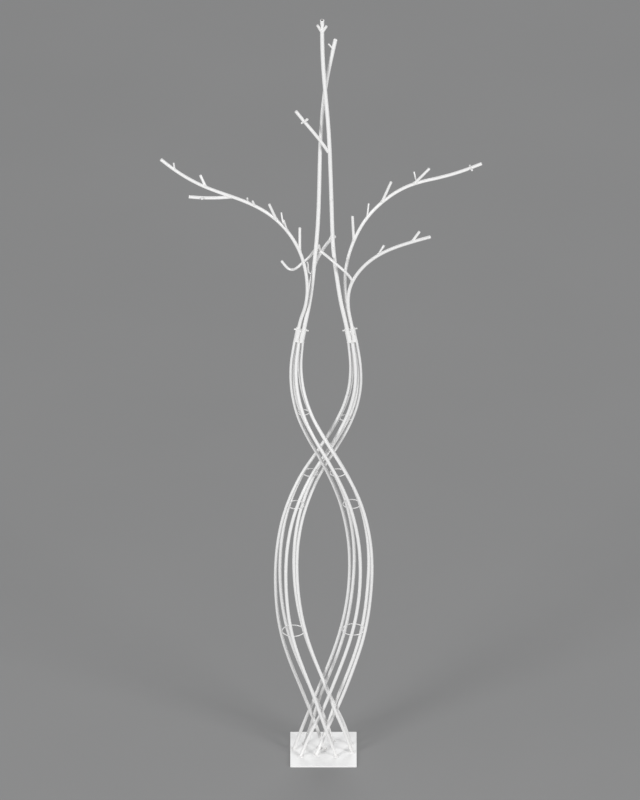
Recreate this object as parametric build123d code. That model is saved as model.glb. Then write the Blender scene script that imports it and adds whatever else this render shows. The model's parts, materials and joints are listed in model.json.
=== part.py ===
"""Garden obelisk: two bundles of bent rods that cross like a double helix, under a crown of clamped tubes.

Units are millimetres. +X is to the right, +Y is away from the front, +Z is up, and the origin is the middle of
the base plate's underside.
"""
from build123d import *
import math
import os

# ---------------------------------------------------------------------------------------- overall sizes
OVERALL_HEIGHT = 2520.0         # floor to the open top of the tall mast
OVERALL_SPAN = 950.0            # tip of the left branch to tip of the upper right branch

# ---------------------------------------------------------------------------------------- base plate
PLATE_SIDE = 200.0
PLATE_THICKNESS = 5.0
PLATE_CORNER_RADIUS = 2.0
PLATE_EDGE_BREAK = 0.5

# ---------------------------------------------------------------------------------------- stems
STEM_ROD_DIAMETER = 10.0
CROSSING_GAP = 1.7              # space between the stems where they cross halfway up
BASE_CROSSING_DEPTH = 7.5       # depth that the stems swing forwards and back, low down where they interleave
HOOP_WIRE_DIAMETER = 3.0
HOOP_BITE = 0.8                 # how far a hoop is melted into the rods it is welded to
FOOT_BEAD_LEG = 3.5
BEAD_TOE = 0.6                  # thickness of a weld bead where it runs out

# ---------------------------------------------------------------------------------------- collars
COLLAR_LEAN = 10.5              # degrees, towards the middle of the obelisk
COLLAR_RING_RADIUS = 11.7       # radius of the ring of rods where they are welded under the sockets
SOCKET_DIAMETER = 16.0
SOCKET_LENGTH = 45.0
SOCKET_GAP = 0.2                # between neighbouring sockets of one collar
SLIDE_CLEARANCE = 0.05          # radial, between a crown tube and its socket
SEAT_GAP = 0.5                  # between the rods' ends and the tubes that stand over them
COLLAR_BEAD_LEG = 1.2
TACK_RADIUS = 2.0
TACK_HEIGHT = 6.0
TACK_LEVELS = [0.0, 33.0]       # lower ends of the two tacks of a groove, above the collar's lower end
TACK_OUTSET = 4.5               # tack's middle outside the line where two sockets meet
SIGHT_HOLE_DIAMETER = 3.0
SIGHT_HOLE_HEIGHT = 27.0
SIGHT_HOLE_TURN = -60.0

# ---------------------------------------------------------------------------------------- clamp screws
SCREW_DIAMETER = 5.0
SCREW_CLEARANCE = 0.05          # radial, in the socket wall
SCREW_PROUD = 6.5               # length outside the socket
SCREW_TIP_GAP = 0.2             # between the screw's tip and the tube
SCREW_BELOW_TOP = 4.0           # screw axis below the socket's mouth
HEX_ACROSS_FLATS = 2.5
HEX_DEPTH = 2.5
SCREW_EDGE_BREAK = 0.5

# ---------------------------------------------------------------------------------------- crown tubes
MAST_DIAMETER = 12.0
BRANCH_DIAMETER = 10.0
HOOK_DIAMETER = 8.0
TUBE_WALL = 1.5
TUBE_RUN_OUT = 30.0             # straight stretch of a tube above its socket
TWIG_DIAMETER = 8.0
THIN_TWIG_DIAMETER = 5.0
STUB_DIAMETER = 6.0
TWIG_END_ROUND = 1.2
CAP_SKIRT = 8.0                 # how far an end cap is pressed into its tube
CAP_CROWN = 1.6                 # height of the domed part outside the tube
CAP_ROUND = 1.3

# ---------------------------------------------------------------------------------------- drawn curves
# Every curve is drawn for these two sizes, and is stretched to the overall sizes above.
DRAWN_HEIGHT = 2520.0
DRAWN_SPAN = 950.0
ROD_CORNERS = 18                # straight runs along a stem rod, joined by long arcs
TUBE_CORNERS = 16
SIDE_TUBE_CORNERS = 8
HOOK_CORNERS = 18
SPUR_CORNERS = 6
ARC_SHARE = 0.46                # share of a run that each of its two arcs may take
STRAIGHT_ENOUGH = 0.05          # degrees of turn below which two runs are one
TRIM_SHARE = 6                  # side of the block that trims a rod's end, in rod diameters
LEVEL_STEPS = 40                # halvings when looking for a level on a curve
ROD_LENGTHS = 6                 # butted lengths that a stem rod is kept in, so that collision follows its bend

MIDDLE_RING_RADIUS = 25.5       # radius of the ring of rods where the stems cross halfway up
MIDDLE_CROSSING_DEPTH = MIDDLE_RING_RADIUS + (STEM_ROD_DIAMETER + CROSSING_GAP) / 2
SOCKET_RING_RADIUS = (SOCKET_DIAMETER + SOCKET_GAP) / math.sqrt(3)

# Stations of the stem axes: height, x, depth as a share of the nearest crossing's, ring radius, turn of the
# ring in degrees. Depth is positive away from the front.
BASE, MIDDLE = BASE_CROSSING_DEPTH, MIDDLE_CROSSING_DEPTH
FIRST_STEM = [
    (PLATE_THICKNESS, 48, 0, 44, -9),
    (90, 23, -0.85 * BASE, 44.5, -12.7),
    (175, -9, -1.1 * BASE, 40.5, -6.8),
    (260, -39.5, -0.52 * BASE, 41, -2.3),
    (340, -68.5, -0.53 * BASE, 40, -0.7),
    (420, -91, 0.09 * BASE, 39, -1.3),
    (520, -106.5, 0, 36, 0),
    (620, -112, 0, 33.5, 0),
    (720, -108, 0.08 * MIDDLE, 31.5, 0),
    (828, -88.5, 0.35 * MIDDLE, 30.5, 0),
    (900, -63.5, 0.62 * MIDDLE, 29.5, 0),
    (965, -32, 0.93 * MIDDLE, 28, 0),
    (1027, 6, MIDDLE, MIDDLE_RING_RADIUS, 0),
    (1107, 49, 0.92 * MIDDLE, 24.5, 0),
    (1195, 82.5, 0.6 * MIDDLE, 20, 1),
    (1285, 97, 0.25 * MIDDLE, 16.5, 3),
    (1365, 94.5, 0.05 * MIDDLE, 13.5, 4),
]
SECOND_STEM = [
    (PLATE_THICKNESS, -50, -1.2 * BASE, 40, -26),
    (86, -21, 0.52 * BASE, 40, -20.3),
    (166, 9, 0.94 * BASE, 42, -8.5),
    (250, 37.5, 0, 42, -10.3),
    (335, 66.5, 0.18 * BASE, 40, -8.8),
    (420, 89, 0.11 * BASE, 39, -5.1),
    (520, 105, 0, 36, 0),
    (626, 113, 0, 35, 0),
    (725, 110, -0.08 * MIDDLE, 34, 0),
    (838, 92, -0.35 * MIDDLE, 32.5, 0),
    (926, 66.5, -0.62 * MIDDLE, 30.5, 0),
    (990, 39.5, -0.93 * MIDDLE, 28, 0),
    (1059, 6, -MIDDLE, MIDDLE_RING_RADIUS, 0),
    (1137, -37.5, -0.92 * MIDDLE, 24.5, 0),
    (1215, -68, -0.6 * MIDDLE, 20, 1),
    (1300, -83, -0.25 * MIDDLE, 16.5, 3),
    (1373, -82, -0.05 * MIDDLE, 13.5, 4),
]
FIRST_HOOPS = [419, 850, 953, 1144]
SECOND_HOOPS = [423, 868, 985, 1190]

# Places of a stem's five rods on its ring, in degrees. At the collar the whole ring is turned a little.
ROD_ANGLES = [267, 341, 47, 125, 195]
COLLAR_TURN = 5

# Collars: x and height of the middle of the lower end. Each leans towards the middle of the obelisk.
RIGHT_COLLAR = (86, 1424)
LEFT_COLLAR = (-74, 1424)

# Places of the three sockets of a collar, in degrees around it.
SOCKET_ANGLES = {"front_left": 210, "front_right": 330, "back": 90}
GROOVE_ANGLES = [30, 150, 270]

# Crown tubes: their socket, diameter, the way their clamp screw points, and the drawn points above the socket.
CROWN = {
    "left_mast": {
        "collar": LEFT_COLLAR, "seat": "front_right", "tube_diameter": MAST_DIAMETER, "screw_turn": 0,
        "sight_hole": False,
        "route": [(-39, -1, 1570), (-27.5, 1, 1683), (-18, 3, 1799), (-12.5, 5, 1955), (-9, 6.5, 2098),
                  (0.5, 8, 2238), (10.5, 8, 2318), (22.5, 8, 2381), (35, 8, 2443)]},
    "left_branch": {
        "collar": LEFT_COLLAR, "seat": "front_left", "tube_diameter": BRANCH_DIAMETER, "screw_turn": 200,
        "sight_hole": False,
        "route": [(-51, -12, 1560), (-48.5, -15, 1636), (-60, -16, 1706), (-102, -20, 1803), (-164, -24, 1873),
                  (-246, -28, 1922), (-349, -32, 1966), (-445, -34, 2029), (-481, -34, 2061)]},
    "back_branch": {
        "collar": LEFT_COLLAR, "seat": "back", "tube_diameter": BRANCH_DIAMETER, "screw_turn": 90,
        "sight_hole": False,
        "route": [(-45, 15, 1560), (-33, 24, 1640), (-20, 40, 1677), (-4, 70, 1693), (12, 112, 1695),
                  (33, 170, 1683)]},
    "right_mast": {
        "collar": RIGHT_COLLAR, "seat": "front_left", "tube_diameter": MAST_DIAMETER, "screw_turn": 180,
        "sight_hole": False,
        "route": [(51, -5, 1560), (39, -6, 1650), (30.5, -7, 1720), (25.5, -8, 1830), (20, -9, 2030),
                  (15, -9, 2150), (5, -9, 2278), (-1.5, -9, 2370), (-4, -9, 2450), (-4, -9, 2520)]},
    "upper_right_branch": {
        "collar": RIGHT_COLLAR, "seat": "back", "tube_diameter": BRANCH_DIAMETER, "screw_turn": 90,
        "sight_hole": False,
        "route": [(66, 9.5, 1550), (63, 10, 1610), (65.5, 10, 1660), (87.5, 11, 1753), (126.5, 13, 1834),
                  (191, 17, 1904), (262, 22, 1946), (343, 28, 1965), (440, 34, 1996), (468, 36, 2008)]},
    "lower_right_branch": {
        "collar": RIGHT_COLLAR, "seat": "front_right", "tube_diameter": BRANCH_DIAMETER, "screw_turn": 0,
        "sight_hole": True,
        "route": [(73, -9, 1555), (77, -13, 1607), (104, -24, 1672), (162, -46, 1742), (239, -75, 1796),
                  (315, -110, 1841)]},
}

# Side tubes: drawn points, the first one on the axis of the tube that each is welded on.
MAST_SIDE_BRANCH = [(13.5, -9, 2074), (-8, -16, 2113), (-45, -24, 2169), (-81, -30, 2222)]
LEFT_SIDE_BRANCH = [(-273, -29, 1932), (-335, -32, 1930), (-398, -36, 1936)]
HOOK = [(86, -17, 1638), (65, -30, 1676), (46, -33, 1697), (31, -28, 1709), (14, -13, 1717), (-4, 6, 1723),
        (-22, 19, 1727), (-40, 22, 1699), (-55, 21, 1686), (-69, 19, 1673), (-81, 17, 1661), (-94, 15, 1656),
        (-107, 12, 1665), (-124, 8, 1691)]
SIDE_TUBES = {
    "mast_side_branch": ("right_mast", MAST_SIDE_BRANCH, SIDE_TUBE_CORNERS, BRANCH_DIAMETER),
    "left_side_branch": ("left_branch", LEFT_SIDE_BRANCH, SIDE_TUBE_CORNERS, BRANCH_DIAMETER),
    "hook_branch": ("lower_right_branch", HOOK, HOOK_CORNERS, HOOK_DIAMETER),
}

# Pegs and twigs: host tube, share of the host's length, reach from the host's axis (x, y, z), diameter.
TWIG, THIN, STUB = TWIG_DIAMETER, THIN_TWIG_DIAMETER, STUB_DIAMETER
TWIGS = {
    "left_mast_twigs": [("left_mast", 0.97, (-15, -6, 21), THIN)],
    "right_mast_twigs": [("right_mast", 0.96, (-14, -8, 31), TWIG), ("right_mast", 0.961, (13, -6, 26), TWIG),
                         ("right_mast", 0.295, (-1, -14, 8), STUB), ("right_mast", 0.446, (-1, -14, 8), STUB)],
    "mast_side_branch_stubs": [("mast_side_branch", 0.75, (9, -8, 13), TWIG),
                               ("mast_side_branch", 0.76, (-8, 4, -9), STUB)],
    "left_branch_twigs": [("left_branch", 0.938, (-3, -4, 26), THIN), ("left_branch", 0.809, (-17, 6, 38), TWIG),
                          ("left_branch", 0.65, (-2, 12, 10), STUB), ("left_branch", 0.623, (-6, -8, 21), STUB),
                          ("left_branch", 0.526, (-22, -12, 61), TWIG), ("left_branch", 0.489, (-7, 10, 44), THIN),
                          ("left_branch", 0.464, (-12, -14, 48), THIN), ("left_branch", 0.371, (0, 6, 80), TWIG),
                          ("left_side_branch", 0.656, (-6, -11, 2), STUB)],
    "back_branch_twigs": [("back_branch", 0.7, (-4, 26, 16), TWIG), ("back_branch", 0.86, (12, 20, 18), THIN)],
    "upper_right_branch_twigs": [("upper_right_branch", 0.415, (-4, -8, 88), TWIG),
                                 ("upper_right_branch", 0.522, (5, 8, 45), THIN),
                                 ("upper_right_branch", 0.604, (28, -10, 76), TWIG),
                                 ("upper_right_branch", 0.743, (46, -10, 58), TWIG),
                                 ("upper_right_branch", 0.755, (-9, 10, 33), THIN),
                                 ("upper_right_branch", 0.96, (3, -12, -3), STUB),
                                 ("upper_right_branch", 0.958, (-2, 10, 4), STUB)],
    "lower_right_branch_twigs": [("lower_right_branch", 0.644, (18, 6, 31), TWIG),
                                 ("lower_right_branch", 0.876, (23, -8, 40), TWIG),
                                 ("hook_branch", 0.49, (0, -6, 13), THIN)],
}

# The thin spur that stands between the left branch and its mast: drawn points from the mast's axis.
MAST_SPUR = [(-30, 1, 1650), (-42, 1, 1654), (-46, 1, 1672), (-49, 1, 1693)]

# Tube ends closed with a cap. The tall mast is left open at its top.
CAPPED = {
    "left_mast_cap": ["left_mast"], "mast_side_branch_cap": ["mast_side_branch"],
    "left_branch_caps": ["left_branch", "left_side_branch"], "back_branch_cap": ["back_branch"],
    "upper_right_branch_cap": ["upper_right_branch"], "lower_right_branch_caps": ["lower_right_branch", "hook_branch"],
}


# ======================================================================================== helpers
def place(x, y, z):
    """A drawn point, stretched to the overall sizes."""
    return Vector(x * OVERALL_SPAN / DRAWN_SPAN, y, z * OVERALL_HEIGHT / DRAWN_HEIGHT)


def polar(radius, degrees):
    """Sideways and depth parts of a radius at an angle."""
    return radius * math.cos(math.radians(degrees)), radius * math.sin(math.radians(degrees))


def bent_path(corners):
    """Straight runs joined by arcs that take up nearly the whole of each run, as a rolled bar has."""
    kept = [corners[0]]
    for here, after in zip(corners[1:], corners[2:]):
        if (here - kept[-1]).get_angle(after - here) > STRAIGHT_ENOUGH:
            kept.append(here)
    kept.append(corners[-1])
    radii = []
    for before, here, after in zip(kept, kept[1:], kept[2:]):
        turn = (here - before).get_angle(after - here)
        shorter = min((here - before).length, (after - here).length)
        radii.append(ARC_SHARE * shorter / math.tan(math.radians(turn / 2)))
    if not radii:
        return Polyline(*kept)
    return FilletPolyline(*kept, radius=radii)


def spread_corners(points, count):
    """Evenly spaced corners along the smooth curve through the points."""
    curve = Spline(*points)
    return [curve @ (i / count) for i in range(count + 1)]


def bar_along(path, diameter):
    """A round solid bar along a path."""
    section = Plane(origin=path @ 0, z_dir=path % 0) * Circle(diameter / 2)
    return sweep(section, path=path)


parts = {}


def add(name, *pieces):
    """Keep one node: the solids of its pieces."""
    solids = [solid for piece in pieces for solid in piece.solids()]
    parts[name] = solids[0] if len(solids) == 1 else Compound(children=solids)
    parts[name].label = name


# ======================================================================================== collars
def collar_frame(collar):
    """Frame of a collar: its origin in the lower end, its Z along the sockets, its Y away from the front."""
    x, z = collar
    lean = math.radians(COLLAR_LEAN) * (-1 if x > 0 else 1)
    return Plane(origin=place(x, 0, z), x_dir=(math.cos(lean), 0, -math.sin(lean)),
                 z_dir=(math.sin(lean), 0, math.cos(lean)))


# ======================================================================================== stems
def rod_corners(stations, collar, rod):
    """Corners of one stem rod from the base plate to the underside of its collar."""
    points = []
    for height, x, y, ring, turn in stations:
        dx, dy = polar(ring, ROD_ANGLES[rod] + turn)
        axis = place(x, y, height)
        points.append(axis + Vector(dx, dy, 0))
    points[0].Z = PLATE_THICKNESS
    x, y = polar(COLLAR_RING_RADIUS, ROD_ANGLES[rod] + COLLAR_TURN)
    points.append(collar_frame(collar).from_local_coords(Vector(x, y, 0)))
    return spread_corners(points, ROD_CORNERS)


def stem_rod(stations, collar, rod):
    """One rod, cut flat where it stands on the base plate and where it meets the sockets."""
    corners = rod_corners(stations, collar, rod)
    first = corners[0] + (corners[0] - corners[1]).normalized() * STEM_ROD_DIAMETER
    last = corners[-1] + (corners[-1] - corners[-2]).normalized() * STEM_ROD_DIAMETER
    bar = bar_along(bent_path([first] + corners[1:-1] + [last]), STEM_ROD_DIAMETER)
    side = TRIM_SHARE * STEM_ROD_DIAMETER
    cutter = Box(side, side, side, align=(Align.CENTER, Align.CENTER, Align.MIN))
    bar -= Plane(origin=corners[0], z_dir=(0, 0, -1)).location * cutter
    top = collar_frame(collar)
    bar -= Plane(origin=corners[-1], x_dir=top.x_dir, z_dir=top.z_dir).location * cutter
    return bar


def in_lengths(bar):
    """Cut a rising bar level into short lengths that butt end to end."""
    box = bar.bounding_box()
    lengths = []
    for step in range(1, ROD_LENGTHS):
        cut = Plane.XY.offset(box.min.Z + (box.max.Z - box.min.Z) * step / ROD_LENGTHS)
        lengths.append(bar.split(cut, keep=Keep.BOTTOM))
        bar = bar.split(cut, keep=Keep.TOP)
    return lengths + [bar]


def point_at_level(curve, level):
    """Point where a rising curve reaches a level."""
    low, high = 0.0, 1.0
    for _ in range(LEVEL_STEPS):
        middle = (low + high) / 2
        if (curve @ middle).Z < level:
            low = middle
        else:
            high = middle
    return curve @ low


def hoop(stations, collar, height):
    """A ring of wire welded inside the five rods."""
    level = place(0, 0, height).Z
    curves = [Spline(*rod_corners(stations, collar, rod)) for rod in range(len(ROD_ANGLES))]
    crossings = [point_at_level(curve, level) for curve in curves]
    centre = sum(crossings, Vector(0, 0, 0)) / len(crossings)
    ring = sum((crossing - centre).length for crossing in crossings) / len(crossings)
    radius = ring - (STEM_ROD_DIAMETER + HOOP_WIRE_DIAMETER) / 2 + HOOP_BITE
    return Pos(centre) * Torus(radius, HOOP_WIRE_DIAMETER / 2)


def foot_bead(rod_solid, foot):
    """Weld bead around a rod's foot on the base plate."""
    radius = STEM_ROD_DIAMETER / 2
    cone = Cone(radius + FOOT_BEAD_LEG, radius + BEAD_TOE, FOOT_BEAD_LEG,
                align=(Align.CENTER, Align.CENTER, Align.MIN))
    return Pos(foot.X, foot.Y, PLATE_THICKNESS) * cone - rod_solid


# ======================================================================================== sockets and screws
def upright(radius, height, z=0.0):
    """A cylinder standing on a height."""
    return Pos(0, 0, z) * Cylinder(radius, height, align=(Align.CENTER, Align.CENTER, Align.MIN))


def socket_place(socket):
    """Location of a socket's own frame: origin in its lower end, Z along its bore."""
    x, y = polar(SOCKET_RING_RADIUS, SOCKET_ANGLES[socket["seat"]])
    return collar_frame(socket["collar"]).location * Pos(x, y, 0)


def screw_place(socket):
    """Location of a clamp screw's frame: origin on the socket's axis, Z pointing outwards."""
    return (socket_place(socket) * Pos(0, 0, SOCKET_LENGTH - SCREW_BELOW_TOP)
            * Rot(0, 0, socket["screw_turn"]) * Rot(0, 90, 0))


def socket_tube(socket):
    """A socket, bored through, with a hole for its clamp screw near the mouth."""
    bore = socket["tube_diameter"] + 2 * SLIDE_CLEARANCE
    tube = upright(SOCKET_DIAMETER / 2, SOCKET_LENGTH) - upright(bore / 2, SOCKET_LENGTH)
    tube = socket_place(socket) * tube
    tube -= screw_place(socket) * upright(SCREW_DIAMETER / 2 + SCREW_CLEARANCE, SOCKET_DIAMETER)
    if socket["sight_hole"]:
        drill = Rot(0, 0, SIGHT_HOLE_TURN) * Rot(0, 90, 0) * upright(SIGHT_HOLE_DIAMETER / 2, SOCKET_DIAMETER)
        tube -= socket_place(socket) * Pos(0, 0, SIGHT_HOLE_HEIGHT) * drill
    return tube


def clamp_screw(socket):
    """A set screw with a hexagon socket in its outer end."""
    start = socket["tube_diameter"] / 2 + SCREW_TIP_GAP
    end = SOCKET_DIAMETER / 2 + SCREW_PROUD
    screw = upright(SCREW_DIAMETER / 2, end - start, start)
    screw = chamfer(screw.edges(), SCREW_EDGE_BREAK)
    hexagon = RegularPolygon(HEX_ACROSS_FLATS / 2, 6, major_radius=False)
    screw -= Pos(0, 0, end - HEX_DEPTH) * extrude(hexagon, HEX_DEPTH)
    return screw_place(socket) * screw


def collar_bead(collar, rod, rod_solid):
    """Weld bead around a rod's upper end, under the sockets."""
    radius = STEM_ROD_DIAMETER / 2
    x, y = polar(COLLAR_RING_RADIUS, ROD_ANGLES[rod] + COLLAR_TURN)
    bead = Cone(radius + BEAD_TOE / 2, radius + COLLAR_BEAD_LEG, COLLAR_BEAD_LEG,
                align=(Align.CENTER, Align.CENTER, Align.MAX))
    return collar_frame(collar).location * Pos(x, y, 0) * bead - rod_solid


def tack(collar, degrees, level, sockets):
    """Tack weld in the groove between two neighbouring sockets."""
    x, y = polar(SOCKET_RING_RADIUS / 2 + TACK_OUTSET, degrees)
    seam = collar_frame(collar).location * Pos(x, y, 0) * upright(TACK_RADIUS, TACK_HEIGHT, level)
    for socket in sockets:
        seam -= socket
    return seam


# ======================================================================================== crown
def tube_corners(socket, route):
    """Corners of a crown tube: straight up its socket, then along its drawn route."""
    axis = socket_place(socket)
    seat = (axis * Pos(0, 0, SEAT_GAP)).position
    clear = (axis * Pos(0, 0, SOCKET_LENGTH + TUBE_RUN_OUT)).position
    free = spread_corners([clear] + [place(*point) for point in route], TUBE_CORNERS)
    return [seat] + free


def hollow(path, diameter, bar):
    """Bore a bar out to a tube."""
    return bar - bar_along(path, diameter - 2 * TUBE_WALL)


def end_cap(path, diameter):
    """Domed plug pressed into the open end of a tube."""
    bore = diameter / 2 - TUBE_WALL
    disc = upright(bore, CAP_SKIRT, -CAP_SKIRT) + upright(diameter / 2, CAP_CROWN)
    rim = disc.edges().filter_by(GeomType.CIRCLE).sort_by(Axis.Z)[-1]
    disc = fillet(rim, CAP_ROUND)
    return Plane(origin=path @ 1, z_dir=path % 1).location * disc


def twig(path, share, reach, diameter, host):
    """A short round peg welded on a tube: from the tube's axis, at a share of its length, out by a vector."""
    foot = path @ share
    tip = foot + Vector(*reach)
    peg = Plane(origin=foot, z_dir=tip - foot).location * upright(diameter / 2, (tip - foot).length)
    far = peg.faces().sort_by_distance(tip)[0]
    peg = fillet(far.edges(), TWIG_END_ROUND)
    return peg - host


# ======================================================================================== assembly
def build_base_and_stems():
    """The plate and both bundles of rods, with their hoops and foot welds."""
    plate = Box(PLATE_SIDE, PLATE_SIDE, PLATE_THICKNESS, align=(Align.CENTER, Align.CENTER, Align.MIN))
    plate = fillet(plate.edges().filter_by(Axis.Z), PLATE_CORNER_RADIUS)
    plate = chamfer(plate.faces().sort_by(Axis.Z)[-1].edges(), PLATE_EDGE_BREAK)
    add("base_plate", plate)
    rods = {}
    for stem, stations, collar, hoops in (("first_stem", FIRST_STEM, RIGHT_COLLAR, FIRST_HOOPS),
                                          ("second_stem", SECOND_STEM, LEFT_COLLAR, SECOND_HOOPS)):
        rods[collar] = [stem_rod(stations, collar, rod) for rod in range(len(ROD_ANGLES))]
        for number, bar in enumerate(rods[collar], start=1):
            add(f"{stem}_rod_{number}", *in_lengths(bar))
        for number, height in enumerate(hoops, start=1):
            add(f"{stem}_hoop_{number}", hoop(stations, collar, height))
        feet = [rod_corners(stations, collar, rod)[0] for rod in range(len(ROD_ANGLES))]
        add(f"{stem}_foot_welds", *[foot_bead(bar, foot) for bar, foot in zip(rods[collar], feet)])
    return rods


def build_collars(rods):
    """The sockets that stand on the rods' ends, their clamp screws and their welds."""
    for side, collar in (("left", LEFT_COLLAR), ("right", RIGHT_COLLAR)):
        tubes = {}
        for name, socket in CROWN.items():
            if socket["collar"] == collar:
                tubes[socket["seat"]] = socket_tube(socket)
                add(f"{name}_socket", tubes[socket["seat"]])
                add(f"{name}_screw", clamp_screw(socket))
        welds = [collar_bead(collar, rod, bar) for rod, bar in enumerate(rods[collar])]
        for degrees in GROOVE_ANGLES:
            for level in TACK_LEVELS:
                welds.append(tack(collar, degrees, level, tubes.values()))
        add(f"{side}_collar_welds", *welds)


def build_crown():
    """The masts and branches, with the tubes, pegs and caps that each carries."""
    paths, bars, diameters = {}, {}, {}
    for name, socket in CROWN.items():
        diameters[name] = socket["tube_diameter"]
        paths[name] = bent_path(tube_corners(socket, socket["route"]))
        bars[name] = bar_along(paths[name], diameters[name])
        add(name, hollow(paths[name], diameters[name], bars[name]))
    for name, (host, points, corners, diameter) in SIDE_TUBES.items():
        diameters[name] = diameter
        paths[name] = bent_path(spread_corners([place(*point) for point in points], corners))
        bars[name] = bar_along(paths[name], diameter)
        add(name, hollow(paths[name], diameter, bars[name]) - bars[host])
    for name, twigs in TWIGS.items():
        add(name, *[twig(paths[host], share, reach, diameter, bars[host])
                    for host, share, reach, diameter in twigs])
    spur = bent_path(spread_corners([place(*point) for point in MAST_SPUR], SPUR_CORNERS))
    add("left_mast_spur", bar_along(spur, THIN_TWIG_DIAMETER) - bars["left_mast"])
    for name, tubes in CAPPED.items():
        add(name, *[end_cap(paths[tube], diameters[tube]) for tube in tubes])


def main():
    rods = build_base_and_stems()
    build_collars(rods)
    build_crown()
    os.makedirs("parts", exist_ok=True)
    for name, shape in parts.items():
        export_step(shape, f"parts/{name}.step")


main()
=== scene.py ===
import bpy
import bmesh
import json
import math
import random
import numpy as np
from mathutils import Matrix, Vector
from mathutils.bvhtree import BVHTree


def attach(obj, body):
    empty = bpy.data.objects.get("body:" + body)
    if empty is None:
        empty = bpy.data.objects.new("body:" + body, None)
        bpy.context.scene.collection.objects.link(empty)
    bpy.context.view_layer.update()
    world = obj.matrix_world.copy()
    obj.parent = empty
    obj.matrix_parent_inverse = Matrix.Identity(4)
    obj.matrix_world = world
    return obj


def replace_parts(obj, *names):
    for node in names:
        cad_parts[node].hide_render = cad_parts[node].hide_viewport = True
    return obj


# White garden obelisk: coats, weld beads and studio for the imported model.
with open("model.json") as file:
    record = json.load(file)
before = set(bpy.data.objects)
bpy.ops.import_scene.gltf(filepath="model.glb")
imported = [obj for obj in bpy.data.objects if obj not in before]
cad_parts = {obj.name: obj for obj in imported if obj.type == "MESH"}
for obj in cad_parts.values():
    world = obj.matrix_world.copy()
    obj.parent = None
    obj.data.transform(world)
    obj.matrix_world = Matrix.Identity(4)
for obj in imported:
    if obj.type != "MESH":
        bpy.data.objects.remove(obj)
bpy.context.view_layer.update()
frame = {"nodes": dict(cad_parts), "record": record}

MM = 0.001
AT_AN_END = 0.05 * MM           # how near to a flat end a point of a mesh has to be to belong to it


# ---------------------------------------------------------------------------- shader expressions
class Wire:
    """A node socket that can be used in a Python expression."""

    def __init__(self, nodes, socket):
        self.nodes = nodes
        self.socket = socket

    def _sum(self, operation, first, second):
        """A Math node fed by two wires or numbers."""
        return self.nodes.add("ShaderNodeMath", {"operation": operation}, {0: first, 1: second})

    def __add__(self, other):
        return self._sum("ADD", self, other)

    def __radd__(self, other):
        return self._sum("ADD", other, self)

    def __sub__(self, other):
        return self._sum("SUBTRACT", self, other)

    def __rsub__(self, other):
        return self._sum("SUBTRACT", other, self)

    def __mul__(self, other):
        return self._sum("MULTIPLY", self, other)

    def __rmul__(self, other):
        return self._sum("MULTIPLY", other, self)

    def __truediv__(self, other):
        return self._sum("DIVIDE", self, other)


class Coat:
    """One material being made: its tree, and the few helpers that its layers need."""

    def __init__(self, name):
        self.material = bpy.data.materials.new(name)
        self.material.use_nodes = True
        self.tree = self.material.node_tree
        self.shader = self.tree.nodes["Principled BSDF"]

    def add(self, kind, settings=None, inputs=None, out=0):
        """Make a node, set it up, feed its inputs, and give back one of its outputs."""
        node = self.tree.nodes.new(kind)
        for name, value in (settings or {}).items():
            if name == "stops":
                ramp = node.color_ramp
                while len(ramp.elements) < len(value):
                    ramp.elements.new(0.5)
                for stop, (place, level) in zip(ramp.elements, value):
                    stop.position = place
                    stop.color = (level, level, level, 1)
            else:
                setattr(node, name, value)
        for name, value in (inputs or {}).items():
            if isinstance(value, Wire):
                self.tree.links.new(value.socket, node.inputs[name])
            else:
                node.inputs[name].default_value = value
        return Wire(self, node.outputs[out])

    def feed(self, **values):
        """Feed the coat's own shader, by the names of its inputs."""
        for name, value in values.items():
            socket = self.shader.inputs[name.replace("_", " ").title()]
            if isinstance(value, Wire):
                self.tree.links.new(value.socket, socket)
            else:
                socket.default_value = value

    def place(self):
        """Place on the piece, in metres."""
        return self.add("ShaderNodeTexCoord", out=3)

    def height(self):
        """Height above the floor, in metres."""
        return self.add("ShaderNodeSeparateXYZ", {}, {0: self.place()}, out=2)

    def noise(self, size, detail=2.0, rough=0.5, lacunarity=2.0):
        """Noise of that grain size in metres, from 0 to 1."""
        return self.add("ShaderNodeTexNoise", {}, {
            "Vector": self.place(), "Scale": 1 / size, "Detail": detail, "Roughness": rough,
            "Lacunarity": lacunarity})

    def cells(self, size):
        """Distance to the nearest of scattered points that lie that far apart, in metres."""
        return self.add("ShaderNodeTexVoronoi", {}, {"Vector": self.place(), "Scale": 1 / size})

    def ramp(self, value, *stops):
        """A grey level that follows the value through the stops."""
        return self.add("ShaderNodeValToRGB", {"stops": stops}, {0: value})

    def between(self, mask, low, high):
        """A colour that goes from low to high with the mask."""
        return self.add("ShaderNodeMix", {"data_type": "RGBA"}, {0: mask, 6: low, 7: high}, out=2)

    def relief(self, *layers):
        """Stack bumps: each layer is (height, strength, distance in metres)."""
        normal = None
        for height, strength, distance in layers:
            links = {"Height": height, "Strength": strength, "Distance": distance}
            if normal is not None:
                links["Normal"] = normal
            normal = self.add("ShaderNodeBump", {}, links)
        self.feed(normal=normal)


def colour(red, green, blue):
    """An opaque colour."""
    return (red, green, blue, 1.0)


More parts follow.
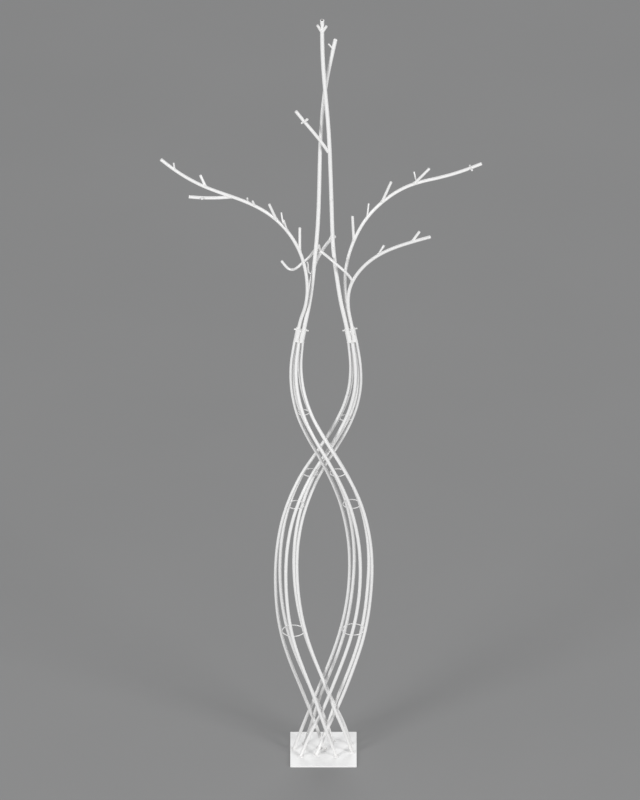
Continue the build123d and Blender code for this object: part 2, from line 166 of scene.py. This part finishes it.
# ---------------------------------------------------------------------------- coats
def powder_coat(name, white, gloss, peel=1.0, chips=0.0, splash=False):
    """Sprayed and baked powder: an orange peel, thin places, specks of dust and a few chips."""
    coat = Coat(name)
    cloud = coat.noise(0.16, 3, 0.55)
    runs = coat.noise(0.022, 2, 0.5)
    pores = coat.noise(0.0016, 1.5, 0.5)
    waves = coat.noise(0.0048, 2, 0.45)
    specks = coat.ramp(coat.cells(0.011), (0.0, 1.0), (0.045, 1.0), (0.075, 0.0))
    sparse = coat.ramp(coat.noise(0.05, 1), (0.0, 0.0), (0.60, 0.0), (0.66, 1.0))
    dust = coat.ramp(coat.noise(0.035, 4, 0.6), (0.0, 0.0), (0.42, 0.0), (0.8, 1.0))
    red, green, blue = white
    base = coat.between(cloud, colour(red * 0.955, green * 0.955, blue * 0.96), colour(red, green, blue))
    base = coat.between(runs * 0.35, base, colour(red * 0.985, green * 0.975, blue * 0.955))
    base = coat.between(dust * 0.10, base, colour(0.62, 0.60, 0.56))
    base = coat.between(specks * sparse * 0.35, base, colour(0.50, 0.48, 0.45))
    rough = gloss + cloud * 0.07 + runs * 0.05 + dust * 0.16
    if chips:
        worn = coat.ramp(coat.noise(0.007, 3, 0.65), (0.0, 0.0), (0.70 - chips, 0.0), (0.73 - chips, 1.0))
        base = coat.between(worn * 0.8, base, colour(0.42, 0.41, 0.40))
        rough = rough + worn * 0.18
    if splash:
        low = coat.ramp(coat.height() / 0.30, (0.0, 1.0), (0.12, 0.55), (1.0, 0.0))
        film = low * coat.ramp(coat.noise(0.018, 5, 0.65), (0.0, 0.0), (0.35, 0.1), (0.75, 1.0))
        base = coat.between(film * 0.22, base, colour(0.56, 0.53, 0.48))
        rough = rough + film * 0.2
    coat.feed(base_color=base, roughness=rough)
    coat.shader.inputs["IOR"].default_value = 1.5
    coat.shader.inputs["Coat Weight"].default_value = 0.25
    coat.shader.inputs["Coat Roughness"].default_value = 0.12
    coat.relief((waves, 0.12 * peel, 0.0003), (pores, 0.12 * peel, 0.0001), (specks * sparse, 0.4, 0.0002))
    return coat.material


def weld_coat(name, white):
    """Powder over a weld: the bead's own ripples come from its mesh, the pits and thick edges from here."""
    coat = Coat(name)
    pits = coat.ramp(coat.cells(0.0024), (0.0, 0.0), (0.28, 1.0))
    lumps = coat.noise(0.0035, 3, 0.6)
    grime = coat.ramp(coat.noise(0.006, 3, 0.6), (0.0, 0.0), (0.45, 0.0), (0.75, 1.0))
    red, green, blue = white
    base = coat.between(lumps, colour(red * 0.90, green * 0.895, blue * 0.89), colour(red, green, blue))
    base = coat.between(grime * 0.30, base, colour(0.50, 0.47, 0.43))
    coat.feed(base_color=base, roughness=0.36 + lumps * 0.12 + grime * 0.15)
    coat.shader.inputs["Coat Weight"].default_value = 0.2
    coat.shader.inputs["Coat Roughness"].default_value = 0.15
    coat.relief((lumps, 0.6, 0.0008), (pits, 0.35, 0.0003))
    return coat.material


def plate_coat(name, white):
    """The plate lies flat, so it has the glossiest coat, with grit, fine scuffs and dried drops."""
    coat = Coat(name)
    cloud = coat.noise(0.06, 3, 0.5)
    waves = coat.noise(0.006, 2, 0.45)
    pores = coat.noise(0.0018, 1.5)
    stretched = coat.add("ShaderNodeMapping", {}, {
        "Vector": coat.place(), "Rotation": (0, 0, 0.7), "Scale": (9.0, 260.0, 60.0)})
    scratch = coat.add("ShaderNodeTexNoise", {}, {"Vector": stretched, "Scale": 1.0, "Detail": 3.0})
    scuffs = coat.ramp(scratch, (0.0, 0.0), (0.66, 0.0), (0.70, 1.0))
    drops = coat.ramp(coat.cells(0.024), (0.0, 0.0), (0.12, 0.0), (0.16, 1.0), (0.19, 0.0))
    grit = coat.ramp(coat.cells(0.006), (0.0, 1.0), (0.09, 1.0), (0.13, 0.0))
    some = coat.ramp(coat.noise(0.04, 3), (0.0, 0.0), (0.52, 0.0), (0.62, 1.0))
    red, green, blue = white
    base = coat.between(cloud, colour(red * 0.96, green * 0.96, blue * 0.962), colour(red, green, blue))
    base = coat.between(drops * some * 0.16, base, colour(0.60, 0.58, 0.54))
    base = coat.between(grit * some * 0.30, base, colour(0.42, 0.39, 0.35))
    base = coat.between(scuffs * 0.15, base, colour(0.55, 0.54, 0.52))
    coat.feed(base_color=base,
              roughness=0.19 + cloud * 0.07 + drops * some * 0.15 + scuffs * 0.18 + grit * some * 0.3)
    coat.shader.inputs["Coat Weight"].default_value = 0.35
    coat.shader.inputs["Coat Roughness"].default_value = 0.08
    coat.relief((waves, 0.22, 0.0004), (pores, 0.12, 0.00015), (grit * some, 0.6, 0.0004),
                (scuffs, -0.2, 0.0001))
    return coat.material


def screw_coat(name):
    """White set screws whose ends a key has scraped to the zinc."""
    coat = Coat(name)
    scrape = coat.ramp(coat.noise(0.0022, 3, 0.6), (0.0, 0.0), (0.50, 0.0), (0.58, 1.0))
    grain = coat.noise(0.0009, 2)
    turns = coat.noise(0.005, 2)
    base = coat.between(turns, colour(0.80, 0.80, 0.79), colour(0.86, 0.86, 0.85))
    base = coat.between(scrape, base, colour(0.62, 0.62, 0.61))
    coat.feed(base_color=base, metallic=scrape * 0.85, roughness=0.30 + grain * 0.12 + scrape * 0.06)
    coat.relief((grain, 0.3, 0.0002), (scrape, -0.5, 0.0002))
    return coat.material


def floor_paper(name):
    """Seamless pale paper with a very faint tooth."""
    coat = Coat(name)
    tooth = coat.noise(0.004, 3, 0.6)
    cloud = coat.noise(0.9, 3, 0.5)
    base = coat.between(cloud, colour(0.226, 0.227, 0.227), colour(0.246, 0.246, 0.246))
    coat.feed(base_color=base, roughness=0.72 + tooth * 0.1)
    coat.relief((tooth, 0.12, 0.0006))
    return coat.material


WHITE = (0.80, 0.799, 0.796)
finish = {
    "stem_coat": powder_coat("stem_powder_coat", WHITE, 0.27, splash=True),
    "crown_coat": powder_coat("crown_powder_coat", WHITE, 0.26),
    "twig_coat": powder_coat("twig_powder_coat", (0.80, 0.798, 0.794), 0.30, peel=1.2),
    "collar_coat": powder_coat("collar_powder_coat", (0.79, 0.788, 0.784), 0.30, peel=1.3, chips=0.02),
    "plate_coat": plate_coat("plate_gloss_coat", (0.88, 0.878, 0.872)),
    "hoop_wire": powder_coat("hoop_powder_coat", (0.785, 0.783, 0.779), 0.32, peel=1.2),
    "weld_beads": weld_coat("coated_weld", (0.80, 0.798, 0.793)),
    "tube_caps": powder_coat("cap_powder_coat", (0.80, 0.798, 0.794), 0.28),
    "clamp_screws": screw_coat("scraped_screw"),
}

slot_of = {row["node"]: row["material_slot"] for row in frame["record"]["subparts"]}
body_of = {}
for body_name, names in frame["record"]["behaviour"]["bodies"].items():
    for node_name in names:
        body_of[node_name] = body_name
for node_name, item in frame["nodes"].items():
    item.data.materials.clear()
    item.data.materials.append(finish[slot_of[node_name]])


# ---------------------------------------------------------------------------- shapes read off the frame
def points_of(node):
    """All points of a CAD node, in metres."""
    data = frame["nodes"][node].data
    places = np.zeros(len(data.vertices) * 3)
    data.vertices.foreach_get("co", places)
    return places.reshape(-1, 3)


def surface_of(node):
    """Search tree over a CAD node's surface."""
    data = frame["nodes"][node].data
    data.calc_loop_triangles()
    return BVHTree.FromPolygons([v.co for v in data.vertices], [t.vertices for t in data.loop_triangles])


def solids_of(node):
    """Point sets of a node's separate solids, in order along X."""
    mesh = bmesh.new()
    mesh.from_mesh(frame["nodes"][node].data)
    bmesh.ops.remove_doubles(mesh, verts=mesh.verts, dist=1e-6)
    mesh.verts.ensure_lookup_table()
    unseen, found = set(range(len(mesh.verts))), []
    while unseen:
        front, group = [unseen.pop()], []
        while front:
            here = front.pop()
            group.append(here)
            for edge in mesh.verts[here].link_edges:
                other = edge.other_vert(mesh.verts[here]).index
                if other in unseen:
                    unseen.discard(other)
                    front.append(other)
        found.append(np.array([mesh.verts[i].co for i in group], float))
    mesh.free()
    found.sort(key=lambda group: tuple(group.mean(0)))
    return found


def edge_loop(points, steps=56):
    """Smooth closed line through the outer points of a patch, where a round bar meets another piece."""
    middle = points.mean(0)
    spread = np.linalg.svd(points - middle, full_matrices=False)[2]
    flat = (points - middle) @ spread[:2].T
    turn = np.arctan2(flat[:, 1], flat[:, 0])
    far = np.hypot(flat[:, 0], flat[:, 1])
    kept = far > 0.6 * far.max()
    order = np.argsort(turn[kept])
    ring, turn = points[kept][order], turn[kept][order]
    around = np.concatenate([turn - 2 * math.pi, turn, turn + 2 * math.pi])
    ring = np.concatenate([ring, ring, ring])
    at = np.linspace(-math.pi, math.pi, steps, endpoint=False)
    return np.stack([np.interp(at, around, ring[:, k]) for k in range(3)], 1), spread[2]


# ---------------------------------------------------------------------------- weld beads
BEAD_PITCH = 1.7 * MM           # from one scale of a bead to the next
BEAD_SIDES = 12
WANDER_LENGTH = 3.1 * MM        # length over which a bead's width wanders
FOOT_BEAD = 2.5 * MM            # radii of the beads
TOP_BEAD = 1.3 * MM
SEAM_BEAD = 2.1 * MM
HOOP_BEAD = 2.0 * MM
TWIG_BEAD = 1.6 * MM
BEAD_OFFSET = 0.7 * MM          # how far a ring bead's middle stands clear of the face it lies on
FOOT_OUT = 0.9 * MM             # how far a ring bead's middle stands outside the rod
TOP_OUT = 0.3 * MM
SEAM_STEPS = 16
HOOP_STEPS = 12
HOOP_REACH = 5.0 * MM           # half the length of a bead between a hoop and a rod
HOOP_WIRE_RADIUS = 1.5 * MM


def weld_run(mesh, path, radius, up, closed, seed):
    """A rippled bead along a line: overlapping scales, a wandering width, and blunt ends if it is open."""
    chance = random.Random(seed)
    phase, wander = chance.random() * 6.28, 0.6 + 0.8 * chance.random()
    count = len(path)
    steps = np.linalg.norm(np.diff(path, axis=0), axis=1)
    length = np.concatenate([[0.0], np.cumsum(steps)])
    rings = []
    for i, point in enumerate(path):
        ahead, behind = path[(i + 1) % count], path[i - 1]
        if not closed:
            ahead, behind = path[min(i + 1, count - 1)], path[max(i - 1, 0)]
        along = Vector(ahead - behind).normalized()
        side = (Vector(up) - along * along.dot(Vector(up))).normalized()
        across = along.cross(side)
        swell = 0.10 * math.sin(length[i] / WANDER_LENGTH * wander + phase)
        width = 1 + swell + chance.uniform(-0.035, 0.035)
        if not closed:
            share = (i + 0.35) / (count - 0.3)
            width *= math.sin(math.pi * share) ** 0.4
        ring = []
        for j in range(BEAD_SIDES):
            turn = 2 * math.pi * j / BEAD_SIDES
            scale = (length[i] / BEAD_PITCH + 0.35 * math.cos(turn) + phase) % 1.0
            reach = radius * width * (0.93 + 0.15 * (1 - scale) ** 2)
            outwards = side * math.cos(turn) + across * math.sin(turn)
            ring.append(mesh.verts.new(Vector(point) + outwards * reach))
        rings.append(ring)
    pairs = list(zip(rings, rings[1:] + rings[:1])) if closed else list(zip(rings, rings[1:]))
    for first, second in pairs:
        for j in range(BEAD_SIDES):
            k = (j + 1) % BEAD_SIDES
            mesh.faces.new((first[j], first[k], second[k], second[j]))
    if not closed:
        mesh.faces.new(rings[0][::-1])
        mesh.faces.new(rings[-1])


def as_piece(name, mesh, material, body):
    """Make a smooth piece of a mesh, with its own material, and let it ride with a body."""
    data = bpy.data.meshes.new(name)
    mesh.to_mesh(data)
    mesh.free()
    data.materials.append(material)
    data.polygons.foreach_set("use_smooth", [True] * len(data.polygons))
    piece = bpy.data.objects.new(name, data)
    bpy.context.scene.collection.objects.link(piece)
    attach(piece, body)
    return piece


def new_piece(name, mesh, slot, body):
    """Make a piece that wears its slot's finish."""
    bmesh.ops.recalc_face_normals(mesh, faces=mesh.faces)
    return as_piece(name, mesh, finish[slot], body)


STEMS = {"first_stem": "right_collar", "second_stem": "left_collar"}
RODS = 5
HOOPS = 4


def stem_welds():
    """Beads at the rods' feet, at their tops under the sockets, and where the hoops touch them."""
    for stem, collar in STEMS.items():
        feet, tops, hoops = bmesh.new(), bmesh.new(), bmesh.new()
        rods = [points_of(f"{stem}_rod_{n}") for n in range(1, RODS + 1)]
        seams = [s for s in solids_of(f"{collar}_welds") if np.ptp(s[:, 2]) > 4.5 * MM]
        lean = collar_axis(collar)
        for number, rod in enumerate(rods):
            foot = rod[rod[:, 2] < rod[:, 2].min() + AT_AN_END]
            loop, _ = edge_loop(foot)
            out = loop - loop.mean(0)
            loop += out / np.linalg.norm(out, axis=1)[:, None] * FOOT_OUT + np.array([0, 0, BEAD_OFFSET])
            weld_run(feet, loop, FOOT_BEAD, (0, 0, 1), True, number)
            rise = rod @ lean
            top, _ = edge_loop(rod[rise > rise.max() - AT_AN_END])
            out = top - top.mean(0)
            top += out / np.linalg.norm(out, axis=1)[:, None] * TOP_OUT - lean * BEAD_OFFSET
            weld_run(tops, top, TOP_BEAD, tuple(lean), True, number + 20)
        for number, seam in enumerate(seams):
            rise = seam @ lean
            low = seam[rise < rise.min() + 0.1 * MM].mean(0)
            share = np.linspace(-0.15, 1.15, SEAM_STEPS)[:, None]
            weld_run(tops, low + share * lean * np.ptp(rise), SEAM_BEAD, (0, 1, 0), False, number + 40)
        for number in range(1, HOOPS + 1):
            wire = points_of(f"{stem}_hoop_{number}")
            middle = (wire.max(0) + wire.min(0)) / 2
            radius = np.ptp(wire[:, 0]) / 2 - HOOP_WIRE_RADIUS
            for index in range(RODS):
                near, _, _, _ = rod_trees[f"{stem}_rod_{index + 1}"].find_nearest(Vector(middle))
                flat = np.array([near.x - middle[0], near.y - middle[1]])
                gap = np.hypot(*flat) - radius
                start = math.atan2(flat[1], flat[0])
                sweep = np.linspace(-1, 1, HOOP_STEPS) * HOOP_REACH / radius + start
                ring = radius + max(0.4 * MM, min(gap, 3 * MM) * 0.6)
                path = np.stack([middle[0] + ring * np.cos(sweep), middle[1] + ring * np.sin(sweep),
                                 np.full(HOOP_STEPS, middle[2])], 1)
                weld_run(hoops, path, HOOP_BEAD, (0, 0, 1), False, number * 10 + index)
        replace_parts(new_piece(f"{stem}_foot_beads", feet, "weld_beads", "root"), f"{stem}_foot_welds")
        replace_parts(new_piece(f"{collar}_beads", tops, "weld_beads", "root"), f"{collar}_welds")
        new_piece(f"{stem}_hoop_beads", hoops, "weld_beads", "root")


def collar_axis(collar):
    """Direction of a collar's sockets, from the long axis of all the points of one of them."""
    tube = points_of({"left_collar": "left_mast_socket", "right_collar": "right_mast_socket"}[collar])
    lean = np.linalg.svd(tube - tube.mean(0), full_matrices=False)[2][0]
    return lean if lean[2] > 0 else -lean


CROWN = {
    "left_mast": [("left_mast_twigs", ["left_mast"]), ("left_mast_spur", ["left_mast"])],
    "right_mast": [("right_mast_twigs", ["right_mast"]), ("mast_side_branch", ["right_mast"]),
                   ("mast_side_branch_stubs", ["mast_side_branch"])],
    "left_branch": [("left_branch_twigs", ["left_branch", "left_side_branch"]),
                    ("left_side_branch", ["left_branch"])],
    "back_branch": [("back_branch_twigs", ["back_branch"])],
    "upper_right_branch": [("upper_right_branch_twigs", ["upper_right_branch"])],
    "lower_right_branch": [("lower_right_branch_twigs", ["lower_right_branch", "hook_branch"]),
                           ("hook_branch", ["lower_right_branch"])],
}


def crown_welds():
    """A bead round the foot of each twig, peg and side tube."""
    for body, joins in CROWN.items():
        beads = bmesh.new()
        for node, hosts in joins:
            trees = [surface_of(host) for host in hosts]
            for number, solid in enumerate(solids_of(node)):
                nearest = [np.array([tree.find_nearest(Vector(p))[3] for p in solid]) for tree in trees]
                touching = max((far < 0.5 * MM for far in nearest), key=lambda mask: mask.sum())
                if touching.sum() < 8:
                    print("no foot found on", node, number, touching.sum())
                    continue
                loop, up = edge_loop(solid[touching])
                size = np.linalg.norm(loop - loop.mean(0), axis=1).mean()
                bead = min(TWIG_BEAD, 0.34 * size)
                out = loop - loop.mean(0)
                loop = loop + out / np.linalg.norm(out, axis=1)[:, None] * 0.25 * bead
                weld_run(beads, loop, bead, tuple(up), True, number + 60)
        new_piece(f"{body}_twig_beads", beads, "weld_beads", body)


rod_trees = {f"{stem}_rod_{n}": surface_of(f"{stem}_rod_{n}") for stem in STEMS for n in range(1, RODS + 1)}
stem_welds()
crown_welds()


# ---------------------------------------------------------------------------- bare bore of the tall mast, with painted shade deep inside
def mast_bore_with_painted_shade():
    """Uncoated steel inside the open end of the tall mast, closed 60 mm down by a dark plug that is painted
    shade standing for the dark further down.
    """
    mast = points_of("right_mast")
    rim = mast[mast[:, 2] > mast[:, 2].max() - AT_AN_END]
    middle = (rim.max(0) + rim.min(0)) / 2
    radius = np.linalg.norm(rim[:, :2] - middle[:2], axis=1).min() - 0.04 * MM
    mesh = bmesh.new()
    rings = []
    for depth in np.linspace(0.6, 60, 20) * MM:
        rings.append([mesh.verts.new((middle[0] + radius * math.cos(t), middle[1] + radius * math.sin(t),
                                      middle[2] - depth)) for t in np.linspace(0, 2 * math.pi, 40)[:-1]])
    for first, second in zip(rings, rings[1:]):
        for j in range(len(first)):
            k = (j + 1) % len(first)
            mesh.faces.new((first[j], first[k], second[k], second[j]))
    # this plug is a dark sheet of painted shade: the real tube goes on down and is only in shade there
    mesh.faces.new(rings[-1])
    as_piece("mast_bore_with_painted_shade", mesh, bare_steel_with_painted_shade("bare_tube_inside_with_painted_shade"), "right_mast")


def bare_steel_with_painted_shade(name):
    """Uncoated tube inside, with a bloom of rust; its very dark tone is partly painted shade of the bore.
    """
    coat = Coat(name)
    bloom = coat.ramp(coat.noise(0.006, 4, 0.65), (0.0, 0.0), (0.40, 0.0), (0.65, 1.0))
    grain = coat.noise(0.001, 2)
    # bare steel and rust tones, both made darker than the steel is as painted shade of the tube's inside
    base = coat.between(bloom, colour(0.16, 0.155, 0.15), colour(0.20, 0.11, 0.06))
    coat.feed(base_color=base, metallic=0.9 - bloom * 0.8, roughness=0.45 + bloom * 0.35 + grain * 0.1)
    coat.relief((grain, 0.4, 0.0002), (bloom, 0.5, 0.0003))
    return coat.material


mast_bore_with_painted_shade()


# ---------------------------------------------------------------------------- floor, light and camera
FLOOR = 160.0                   # half the floor's side, in metres
floor_mesh = bpy.data.meshes.new("studio_floor")
floor_mesh.from_pydata([(-FLOOR, -FLOOR, 0), (FLOOR, -FLOOR, 0), (FLOOR, FLOOR, 0), (-FLOOR, FLOOR, 0)], [],
                       [(0, 1, 2, 3)])
floor_mesh.materials.append(floor_paper("seamless_paper"))
floor = bpy.data.objects.new("studio_floor", floor_mesh)
bpy.context.scene.collection.objects.link(floor)


def softbox(name, place, aim, width, height, watts):
    """A rectangular lamp that points at a place."""
    lamp = bpy.data.lights.new(name, "AREA")
    lamp.shape = "RECTANGLE"
    lamp.size, lamp.size_y = width, height
    lamp.energy = watts
    box = bpy.data.objects.new(name, lamp)
    box.location = place
    box.rotation_euler = (Vector(aim) - Vector(place)).to_track_quat("-Z", "Y").to_euler()
    bpy.context.scene.collection.objects.link(box)


MIDDLE = (0, 0, 1.2)
softbox("left_softbox", (-6.5, -6.5, 3.6), MIDDLE, 3.0, 4.0, 560)
softbox("right_softbox", (6.9, -6.0, 3.4), MIDDLE, 3.0, 4.0, 520)
softbox("back_softbox", (0.5, 7.5, 7.0), MIDDLE, 6.0, 3.0, 260)

world = bpy.data.worlds.new("studio")
world.use_nodes = True
world.node_tree.nodes["Background"].inputs["Color"].default_value = (0.98, 0.985, 1.0, 1)
world.node_tree.nodes["Background"].inputs["Strength"].default_value = 0.44
bpy.context.scene.world = world
bpy.context.scene.view_settings.view_transform = "Standard"

AIM = Vector((-0.0104, 0, 1.2195))
ELEVATION = math.radians(30)
DISTANCE = 60.0
VIEW_HEIGHT = 2.388             # height of the view at the aim, in metres
SENSOR = 36
lens = bpy.data.cameras.new("camera")
lens.sensor_fit = "VERTICAL"
lens.sensor_height = SENSOR
lens.sensor_width = SENSOR
lens.lens = SENSOR * DISTANCE / VIEW_HEIGHT
lens.clip_end = 400
camera = bpy.data.objects.new("camera", lens)
camera.location = AIM + DISTANCE * Vector((0, -math.cos(ELEVATION), math.sin(ELEVATION)))
camera.rotation_euler = (math.pi / 2 - ELEVATION, 0, 0)
bpy.context.scene.collection.objects.link(camera)
bpy.context.scene.camera = camera
